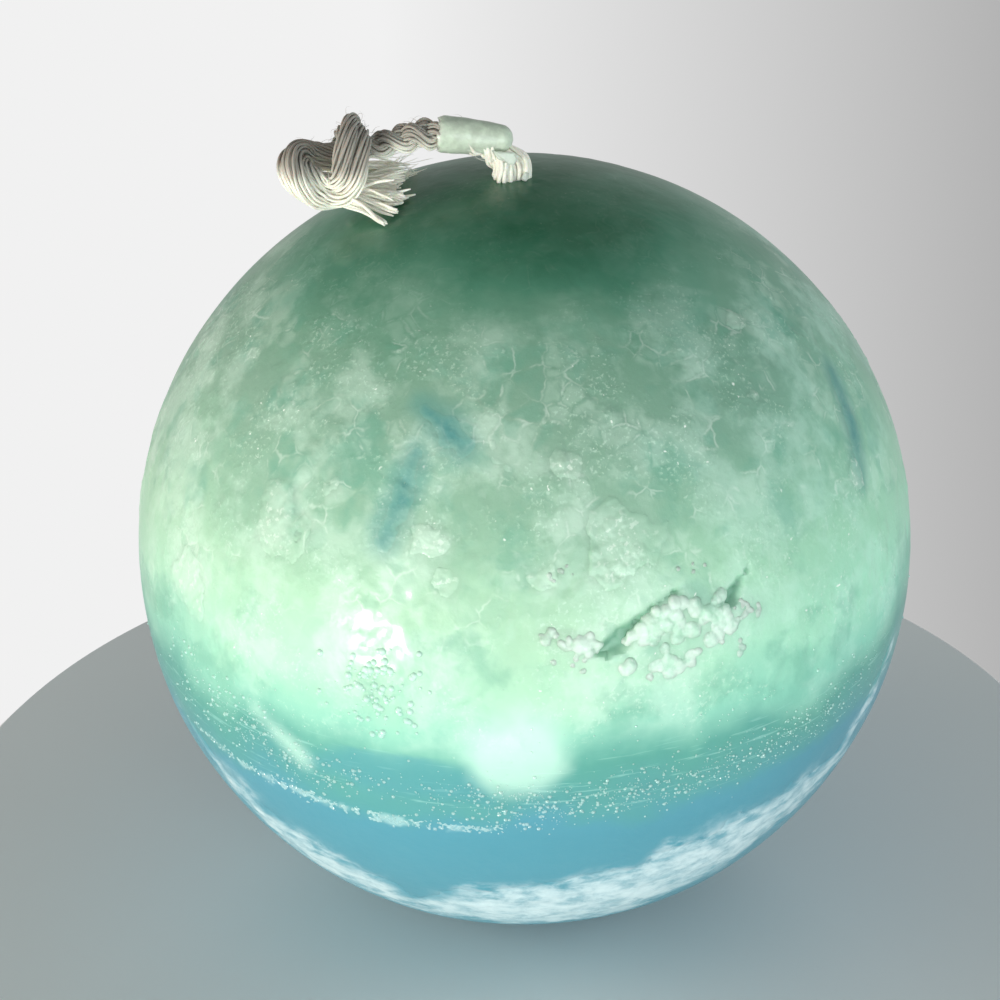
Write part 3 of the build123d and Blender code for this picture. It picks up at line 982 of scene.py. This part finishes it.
def ball_mesh(vertices, faces, place, radius, rings=5, sides=8, squash=1.0, lumps=0.0):
    """Adds a small closed ball, squashed towards the candle's centre, to vertex and face lists."""
    out = (place - CENTRE).normalized()
    side = out.cross(Vector((0.3, 0.1, 1))).normalized()
    up = out.cross(side)
    start = len(vertices)
    vertices.append(place - out * radius * squash)
    for i in range(1, rings):
        angle = math.pi * i / rings
        for k in range(sides):
            turn = 2 * math.pi * k / sides
            flat = side * math.cos(turn) + up * math.sin(turn)
            sideways = flat * (radius * math.sin(angle))
            vertices.append(place + sideways - out * (radius * squash * math.cos(angle)))
    vertices.append(place + out * radius * squash)
    last = len(vertices) - 1
    for k in range(start, last + 1 if lumps else start):
        arm = vertices[k] - place
        vertices[k] = place + arm * (1 + lumps * noise.noise(place * 3000 + arm * (1.3 / radius)))
    for k in range(sides):
        beside = (k + 1) % sides
        faces.append((start, start + 1 + beside, start + 1 + k))
        faces.append((last, last - sides + k, last - sides + beside))
        for i in range(rings - 2):
            row = start + 1 + i * sides
            faces.append((row + k, row + beside, row + sides + beside, row + sides + k))


def on_wax(azimuth, latitude, above):
    """The points at directions, each a distance above the wax."""
    directions = outward(np.array(azimuth), np.array(latitude))
    points = directions * (BALL_R + relief(directions) + np.array(above))[:, None]
    return [CENTRE + Vector(p) for p in points]


def crumb_lumps():
    """Azimuths, latitudes and radii in metres of the crumbs in every cluster."""
    found = []
    for azimuth, latitude, spread, count, small, large in CLUSTERS:
        for _ in range(count):
            across = math.degrees(dice.gauss(0, spread) * MM / BALL_R) / math.cos(math.radians(latitude))
            up = math.degrees(dice.gauss(0, 0.7 * spread) * MM / BALL_R)
            found.append((azimuth + across, latitude + up, dice.uniform(small, large) * MM))
    return np.array(found).T


crumb_vertices, crumb_faces = [], []
crumb_azimuths, crumb_latitudes, crumb_radii = crumb_lumps()
crumb_places = on_wax(crumb_azimuths, crumb_latitudes, -0.5 * crumb_radii)
for place, radius in zip(crumb_places, crumb_radii):
    ball_mesh(crumb_vertices, crumb_faces, place, radius * 1.1, 9, 14, dice.uniform(0.55, 0.75), 0.20)


def fused(name, vertices, faces, voxel):
    """A piece of overlapping lumps made into one skin."""
    made = mesh_object(name, vertices, faces)
    fuse = made.modifiers.new("fuse", "REMESH")
    fuse.mode = "VOXEL"
    fuse.voxel_size = voxel
    fuse.use_smooth_shade = True
    return made


crumbs = fused("wax_crumbs_fused", crumb_vertices, crumb_faces, 0.10 * MM)


def crumb_material():
    """Bright, slightly see-through crumbs of wax."""
    n = Nodes("wax_crumbs")
    place = n.place()
    shade = n.step(n.noise(place, 0.45, 4.0, 0.6), 0.38, 0.64)
    around, _, _ = wax_colour(n, place)
    n.surface("Base Color", n.mix(n.step(shade, 0.0, 1.0, 0.18, 0.82), around, (0.72, 0.94, 0.78)))
    n.surface("Roughness", 0.38)
    n.surface("Subsurface Weight", 0.7)
    n.surface("Subsurface Radius", (1.0, 1.0, 1.0))
    n.surface("Subsurface Scale", 1.6 * MM)
    n.surface("Coat Weight", 0.3)
    n.surface("Normal", n.bump(n.noise(place, 3.5, 3.0), 0.3, 0.08 * MM))
    return n.material


crumb_wax = crumb_material()
add_piece(crumbs, crumb_wax, nodes=["wax_crumbs"])


def bubble_material():
    """Thin pale skins over trapped air."""
    n = Nodes("wax_bubbles")
    place = n.place()
    colour, _, _ = wax_colour(n, place)
    n.surface("Base Color", n.mix(0.36, colour, (0.76, 0.98, 0.92)))
    n.surface("Roughness", 0.15)
    n.surface("Coat Weight", 0.5)
    return n.material


bubble_wax = bubble_material()
CRUST_GRAINS = 420
crust_vertices, crust_faces = [], []
crust_stations = np.array(CRUST_LINE)
crust_azimuths, crust_latitudes, crust_radii = [], [], []
for _ in range(CRUST_GRAINS):
    at = dice.uniform(0, len(CRUST_LINE) - 1)
    azimuth, latitude, width = [np.interp(at, range(len(CRUST_LINE)), crust_stations[:, k]) for k in range(3)]
    crust_azimuths.append(azimuth + dice.gauss(0, 0.8))
    crust_latitudes.append(latitude + dice.gauss(0, 0.25 + 0.9 * width))
    crust_radii.append((0.10 + 0.20 * dice.random() ** 2 * (0.4 + width)) * MM)
crust_places = on_wax(crust_azimuths, crust_latitudes, -0.35 * np.array(crust_radii))
for place, radius in zip(crust_places, crust_radii):
    ball_mesh(crust_vertices, crust_faces, place, radius, 7, 10, 0.8, 0.5)
add_piece(fused("boundary_crust", crust_vertices, crust_faces, 0.07 * MM), bubble_wax)

# Trapped bubbles: azimuth, latitude, how far they spread each way in degrees, slope of the field,
# how many, and the radius of the largest in mm
BUBBLE_FIELDS = [
    (-42, -5, 6, 3.5, -0.15, 260, 0.26), (-31, -8, 5, 2.2, -0.1, 190, 0.26),
    (-20.5, 9.2, 2.8, 2.0, 0, 60, 0.44),
    (-20.5, 4.6, 3.2, 2.4, 0, 70, 0.42), (-12, -8, 7, 1.8, 0, 90, 0.24), (-4, -10, 6, 2.0, 0, 190, 0.24),
    (8, -10, 8, 2.0, 0.05, 220, 0.24), (24, -9.5, 10, 2.0, 0.02, 240, 0.22),
    (42, -7.5, 9, 2.0, -0.03, 170, 0.20),
    (-55, -4, 6, 4, 0, 90, 0.24), (20, 0, 18, 4, 0, 90, 0.2), (52, -4, 5, 2, 0, 60, 0.2),
    (-8, -14, 6, 0.8, 0, 40, 0.28),
    (30, -5.5, 12, 0.3, 0.02, 60, 0.16), (28, -8.4, 12, 0.3, 0.04, 60, 0.16),
    (22, -11.2, 12, 0.3, 0.02, 60, 0.16),
    (110, -8, 22, 3, 0, 90, 0.26), (170, -9, 25, 3, 0, 90, 0.26), (230, -7, 22, 3, 0, 90, 0.26),
    (280, -8, 15, 3, 0, 50, 0.26),
]  # fmt: skip
bubble_azimuths, bubble_latitudes, bubble_radii = [], [], []
for azimuth, latitude, spread, tall, slope, count, largest in BUBBLE_FIELDS:
    power = 1 if largest > 0.3 else 4
    for _ in range(count):
        across = dice.gauss(0, spread)
        bubble_azimuths.append(azimuth + across)
        bubble_latitudes.append(latitude + slope * across + dice.gauss(0, tall))
        bubble_radii.append((0.06 + (largest - 0.06) * dice.random() ** power) * MM)
bubble_vertices, bubble_faces = [], []
bubble_places = on_wax(bubble_azimuths, bubble_latitudes, -0.35 * np.array(bubble_radii))
for place, radius in zip(bubble_places, bubble_radii):
    ball_mesh(bubble_vertices, bubble_faces, place, radius, 5, 9)

bubbles = mesh_object("trapped_bubbles", bubble_vertices, bubble_faces)
mark(bubbles)
add_piece(bubbles, bubble_wax)

# ---------------------------------------------------------------- cotton, tassel and wax on the wick


def cotton_material():
    """Matt cotton: cream, a little darker in patches, with fine fibres, and painted shade on its upper side.
    """
    n = Nodes("wick_cotton")
    place = n.place()
    fibres = n.noise(n.stretched(place, (1.0, 1.0, 0.6)), 6.0, 4.0, 0.7)
    soft = n.noise(place, 0.6, 3.0)
    colour = n.mix(n.step(fibres, 0.35, 0.65), (0.90, 0.86, 0.72), (1.0, 0.98, 0.90))
    colour = n.mix(n.times(n.step(soft, 0.5, 0.7), 0.25), colour, (0.50, 0.46, 0.38))
    # Painted shade: the upper side is painted grey-brown, where little light falls
    colour = n.mix(n.times(n.attribute("grey"), 0.74), colour, (0.17, 0.15, 0.125))
    n.surface("Base Color", colour)
    n.surface("Roughness", 0.95)
    n.surface("Sheen Weight", 0.15)
    n.surface("Subsurface Weight", 0.15)
    n.surface("Subsurface Scale", 0.5 * MM)
    n.surface("Normal", n.bump(fibres, 0.5, 0.05 * MM))
    return n.material


cotton = cotton_material()


def paint_upper_shade(made):
    """Stores how much painted shade each vertex of the cotton gets: more on the upper side of the stalk and
    of the knot.
    """
    points = from_centre(made)
    lowest = np.interp(points[:, 0], np.array([-15, -11]) * MM, np.array([40.6, 42.8]) * MM)
    give(made, "grey", ramp(points[:, 2] - lowest, 0, 2.4 * MM) * ramp(points[:, 0], -1.5 * MM, -3.5 * MM))


paint_upper_shade(wick)

# Bundles of the frayed end, in mm: root and tip as x, y and height above the ball's centre, how many
# yarns, their radius and the spread of their tips
TASSEL = [
    ((-16.5, 0.9, 39.9), (-11.6, 3.9, 38.75), 26, 0.17, 0.62),
    ((-16.6, 0.2, 39.6), (-11.2, 0.9, 39.35), 22, 0.17, 0.62),
    ((-16.6, -0.4, 39.4), (-11.2, -2.6, 38.95), 28, 0.17, 0.75),
    ((-16.8, -1.0, 39.1), (-11.3, -4.9, 38.45), 8, 0.17, 0.20),
    ((-17.0, -1.3, 39.0), (-12.2, -6.4, 37.95), 8, 0.17, 0.18),
    ((-16.2, 2.4, 40.6), (-11.0, 5.4, 39.10), 16, 0.14, 0.50),
    ((-13.6, 4.2, 39.6), (-10.2, 5.8, 38.95), 60, 0.030, 1.00),
]  # fmt: skip


TASSEL_STEPS = 18


def tassel_yarn(root, tip, radius, spread, sway):
    """A line from the knot to a tip that lies on the ball, never sinking into it."""
    start = CENTRE + Vector(root) * MM + Vector([sway.gauss(0, 0.35) for _ in range(3)]) * MM
    end = CENTRE + Vector(tip) * MM + Vector([sway.gauss(0, spread) for _ in range(3)]) * MM
    bow = Vector([sway.gauss(0, 0.10 + 0.25 * spread) for _ in range(3)]) * MM
    wave = sway.uniform(0, 6.28)
    line = []
    for k in range(TASSEL_STEPS + 1):
        t = k / TASSEL_STEPS
        ripple = Vector((0, 0, 1)) * 0.08 * MM * math.sin(9 * t + wave)
        place = start.lerp(end, t) + bow * math.sin(math.pi * t) + ripple
        out = place - CENTRE
        lowest = BALL_R + radius + 0.15 * MM
        if out.length < lowest:
            place = CENTRE + out.normalized() * lowest
        line.append(place)
    return line


def frayed_radius(radius):
    return lambda t: radius * (1 - 0.55 * max(0, (t - 0.8) / 0.2) ** 2)


sway = random.Random(5)
tassel_lines, tassel_radii = [], []
for root, tip, count, radius, spread in TASSEL:
    for _ in range(count):
        thick = radius * MM * sway.uniform(0.8, 1.1)
        tassel_lines.append(tassel_yarn(root, tip, thick, spread, sway))
        tassel_radii.append(frayed_radius(thick))
tassel = mesh_object("tassel", *tube_mesh(tassel_lines, tassel_radii, 7))
paint_upper_shade(tassel)
add_piece(tassel, cotton, "wick_end", ["frayed_strands"])


def clear_wax_material(name, colour):
    """Thin pale wax that lets some light through."""
    n = Nodes(name)
    place = n.place()
    cloud = n.step(n.noise(place, 0.9, 4.0, 0.6), 0.35, 0.65)
    n.surface("Base Color", n.mix(cloud, colour, tuple(min(1.0, 1.25 * c) for c in colour)))
    n.surface("Roughness", 0.32)
    n.surface("Subsurface Weight", 0.6)
    n.surface("Subsurface Radius", (0.8, 1.0, 0.85))
    n.surface("Subsurface Scale", 1.2 * MM)
    n.surface("Coat Weight", 0.3)
    fine = n.noise(place, 2.4, 3.0, 0.6)
    n.surface("Normal", n.bump(fine, 0.4, 0.12 * MM))
    return n.material


sleeve_wax = clear_wax_material("wax_sleeve", (0.48, 0.55, 0.45))

SLEEVE_LEFT, SLEEVE_RIGHT = Vector((-7.0, 0, 44.60)) * MM, Vector((0.25, 0, 43.72)) * MM
SLEEVE_R = 1.82 * MM


def sleeve_mesh(rings=56, sides=64):
    """The cuff of wax round the wick: ragged on the left where the wick comes out, drawn in on the right."""
    axis = (SLEEVE_RIGHT - SLEEVE_LEFT).normalized()
    side = Vector((0, 1, 0))
    up = axis.cross(side)
    length = (SLEEVE_RIGHT - SLEEVE_LEFT).length
    points = []
    for i in range(rings + 1):
        share = i / rings
        body = SLEEVE_R * (1 - 0.36 * share**2.2)
        end = math.sqrt(max(0.0, 1 - max(0.0, (share - 0.86) / 0.14) ** 2))
        mouth = 0.90 + 0.10 * min(1.0, share / 0.05)
        for k in range(sides):
            angle = 2 * math.pi * k / sides
            flat = side * math.cos(angle) * 0.96 + up * math.sin(angle)
            wave = noise.noise(Vector((2.2 * math.cos(angle), 2.2 * math.sin(angle), 3.0)))
            rag = wave * 0.45 * MM * (1 - share) ** 3
            place = CENTRE + SLEEVE_LEFT + axis * (share * length + rag)
            rough = noise.noise((place + flat * body) / (0.9 * MM)) * 0.06 * MM
            points.append(place + flat * (body * end * mouth + rough * end))
    faces = []
    for i in range(rings):
        for k in range(sides):
            row, beside = i * sides, (k + 1) % sides
            faces.append((row + k, row + beside, row + sides + beside, row + sides + k))
    hollow = len(points)
    for k in range(sides):
        points.append(points[k].lerp(CENTRE + SLEEVE_LEFT, 0.22) + axis * 0.25 * MM)
    points.append(CENTRE + SLEEVE_LEFT + axis * 0.4 * MM)
    for k in range(sides):
        beside = (k + 1) % sides
        faces.append((k, hollow + k, hollow + beside, beside))
        faces.append((hollow + k, len(points) - 1, hollow + beside))
    faces.append(tuple(rings * sides + k for k in range(sides)))
    return points, faces


add_piece(mesh_object("sleeve_wax", *sleeve_mesh()), sleeve_wax, "wick_end", ["wick_sleeve"])


def shard(name, outline, thick, toward, seed):
    """A thin chip of wax with a wavy face: an outline of points, thickened away from a direction."""
    shape = bmesh.new()
    toward = Vector(toward).normalized()
    rim = [shape.verts.new(CENTRE + Vector(p) * MM) for p in outline]
    front = shape.faces.new(rim)
    bmesh.ops.triangulate(shape, faces=[front])
    bmesh.ops.subdivide_edges(shape, edges=shape.edges[:], cuts=5, use_grid_fill=True)
    for v in shape.verts:
        v.co += toward * noise.noise(v.co / (0.8 * MM) + Vector((seed, 0, 0))) * 0.18 * MM
    bmesh.ops.solidify(shape, geom=shape.faces[:], thickness=thick * MM)
    mesh = bpy.data.meshes.new(name)
    bmesh.ops.recalc_face_normals(shape, faces=shape.faces)
    shape.to_mesh(mesh)
    shape.free()
    mesh.polygons.foreach_set("use_smooth", [True] * len(mesh.polygons))
    return new_object(name, mesh)


FLAP = [(-1.9, -1.5, 43.2), (0.2, -1.3, 42.9), (0.4, -1.3, 42.2), (0.1, -1.45, 41.7), (-0.5, -1.6, 41.9),
        (-1.3, -1.7, 42.4)]  # fmt: skip
FLAKE = [(0.9, -1.2, 40.3), (1.3, -1.1, 40.75), (1.6, -1.0, 40.6), (1.5, -1.2, 40.1), (1.3, -1.3, 39.85),
         (1.0, -1.3, 40.0)]  # fmt: skip
chip_wax = clear_wax_material("wax_chip", (0.50, 0.58, 0.48))
add_piece(shard("wax_flap", FLAP, 0.28, (0, -1, 0.3), 1.0), chip_wax, "wick_end")
flake_chip = shard("wax_flake_chip", FLAKE, 0.20, (0, -1, 0.5), 4.0)
add_piece(flake_chip, chip_wax, "candle", ["wax_flake"])

# ---------------------------------------------------------------- the pieces inside that show at the foot

top_up_wax = clear_wax_material("wax_top_up", (0.11, 0.35, 0.42))
for name, material in (("base_top_up", top_up_wax), ("wick_core", cotton)):
    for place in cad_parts[name].material_slots:
        place.material = material

# ---------------------------------------------------------------- stage and light


TURNTABLE_R = 0.0661
TURNTABLE_SIDES = 192
TURNTABLE_CENTRE = (-0.0031, 0.0068)


def add_turntable():
    """A plain grey turntable under the candle."""
    bevel, foot = 1.5 * MM, -10 * MM
    outline = [(0.0, 0.0), (TURNTABLE_R - bevel, 0.0), (TURNTABLE_R, -bevel)]
    outline += [(TURNTABLE_R, foot), (0.0, foot)]
    sides = TURNTABLE_SIDES
    points, faces = [], []
    for radius, height in outline:
        for k in range(sides):
            turn = 2 * math.pi * k / sides
            x, y = radius * math.cos(turn), radius * math.sin(turn)
            points.append((TURNTABLE_CENTRE[0] + x, TURNTABLE_CENTRE[1] + y, height - 0.1 * MM))
    for i in range(len(outline) - 1):
        for k in range(sides):
            row, beside = i * sides, (k + 1) % sides
            faces.append((row + k, row + beside, row + sides + beside, row + sides + k))
    table = mesh_object("turntable", points, faces, smooth=False)
    table.data.materials.append(plain_material("turntable_grey", (0.80, 0.82, 0.82), 0.6))


def plain_material(name, colour, roughness):
    material = bpy.data.materials.new(name)
    material.use_nodes = True
    shader = material.node_tree.nodes["Principled BSDF"]
    shader.inputs["Base Color"].default_value = (*colour, 1)
    shader.inputs["Roughness"].default_value = roughness
    return material


def area_light(name, place, towards, size, power, colour, glossy=True):
    lamp = bpy.data.lights.new(name, "AREA")
    lamp.shape = "DISK"
    lamp.size = size
    lamp.energy = power
    lamp.color = colour
    holder = new_object(name, lamp)
    holder.visible_glossy = glossy
    holder.matrix_world = aimed(Vector(place), towards)


add_turntable()
area_light("key", (-0.57, -0.64, -0.035), CENTRE, 0.15, 4.2, (1.0, 0.97, 0.89))
area_light("front", (0.35, -0.85, 0.10), CENTRE, 0.60, 3.2, (0.84, 0.98, 1.0))
area_light("right", (0.85, 0.10, 0.25), CENTRE, 0.50, 1.3, (0.80, 0.96, 1.0), glossy=False)
area_light("left", (-0.85, -0.05, 0.25), CENTRE, 0.50, 1.9, (1.0, 0.97, 0.84), glossy=False)
area_light("back", (0.10, 0.90, 0.20), CENTRE, 0.60, 2.6, (0.95, 0.98, 1.0), glossy=False)


def add_world():
    """Pale surroundings, dim overhead, with a plain backdrop that the camera sees, brighter on its left."""
    world = bpy.data.worlds.new("world")
    bpy.context.scene.world = world
    world.use_nodes = True
    tree = world.node_tree
    background = tree.nodes["Background"]
    direction = tree.nodes.new("ShaderNodeSeparateXYZ")
    tree.links.new(tree.nodes.new("ShaderNodeTexCoord").outputs["Generated"], direction.inputs[0])

    def shade(value, low, high, at_low, at_high):
        node = tree.nodes.new("ShaderNodeMapRange")
        for key, number in (("From Min", low), ("From Max", high), ("To Min", at_low), ("To Max", at_high)):
            node.inputs[key].default_value = number
        tree.links.new(value, node.inputs["Value"])
        return node.outputs[0]

    mix = tree.nodes.new("ShaderNodeMix")
    tree.links.new(tree.nodes.new("ShaderNodeLightPath").outputs["Is Camera Ray"], mix.inputs[0])
    around = tree.nodes.new("ShaderNodeMath")
    around.operation = "MULTIPLY"
    tree.links.new(shade(direction.outputs["Z"], 0.1, 0.85, 0.74, 0.18), around.inputs[0])
    tree.links.new(shade(direction.outputs["Y"], -0.3, 0.6, 1.0, 0.55), around.inputs[1])
    tree.links.new(around.outputs[0], mix.inputs[2])
    tree.links.new(shade(direction.outputs["X"], -0.05, 0.2, 0.88, 0.44), mix.inputs[3])
    tree.links.new(mix.outputs[0], background.inputs["Color"])
    background.inputs["Strength"].default_value = 1.0


add_world()
bpy.context.scene.view_settings.view_transform = "Standard"

# ---------------------------------------------------------------- the wick's cotton, in place of the frame's wick nodes

wick.data.materials.append(cotton)
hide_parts("wick_root", "wick_tail", "wick_knot")
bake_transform(wick)
